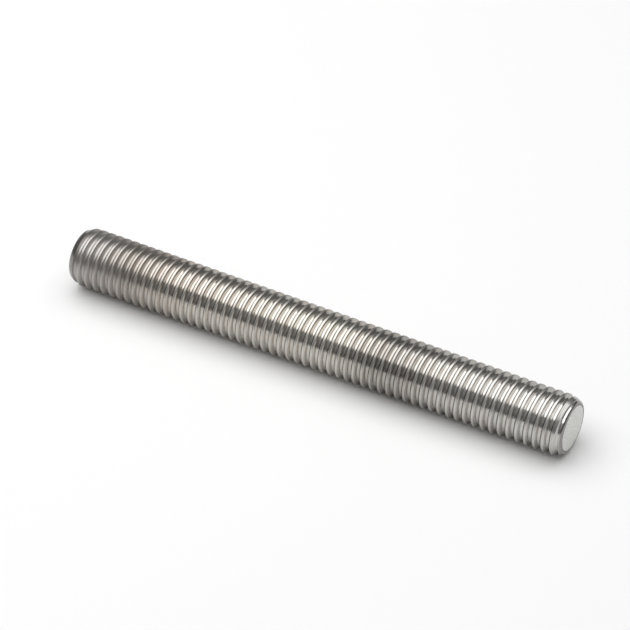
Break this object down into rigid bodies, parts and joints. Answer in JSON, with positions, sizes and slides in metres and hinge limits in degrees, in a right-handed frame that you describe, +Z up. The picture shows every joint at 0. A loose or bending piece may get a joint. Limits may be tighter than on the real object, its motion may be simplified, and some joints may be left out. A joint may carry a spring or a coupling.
{
  "type": "threaded rod",
  "caption": "Fully threaded straight steel rod with a coarse metric thread, cut left-hand, from end to end and a small bevel round each flat end face.",
  "frame": {"origin": "middle of the rod's length, on the surface that it lies on", "axes": "+X along the rod towards the end face nearer the viewer, +Z up, with the rod lying on Z = 0"},
  "size_m": [0.089, 0.0098, 0.0099],
  "materials": {
    "thread_steel": "bright rolled steel, lightly toned, with fine lines along the crests"
  },
  "bodies": {
    "root": {"threaded_rod": "thread_steel"}
  },
  "joints": []
}
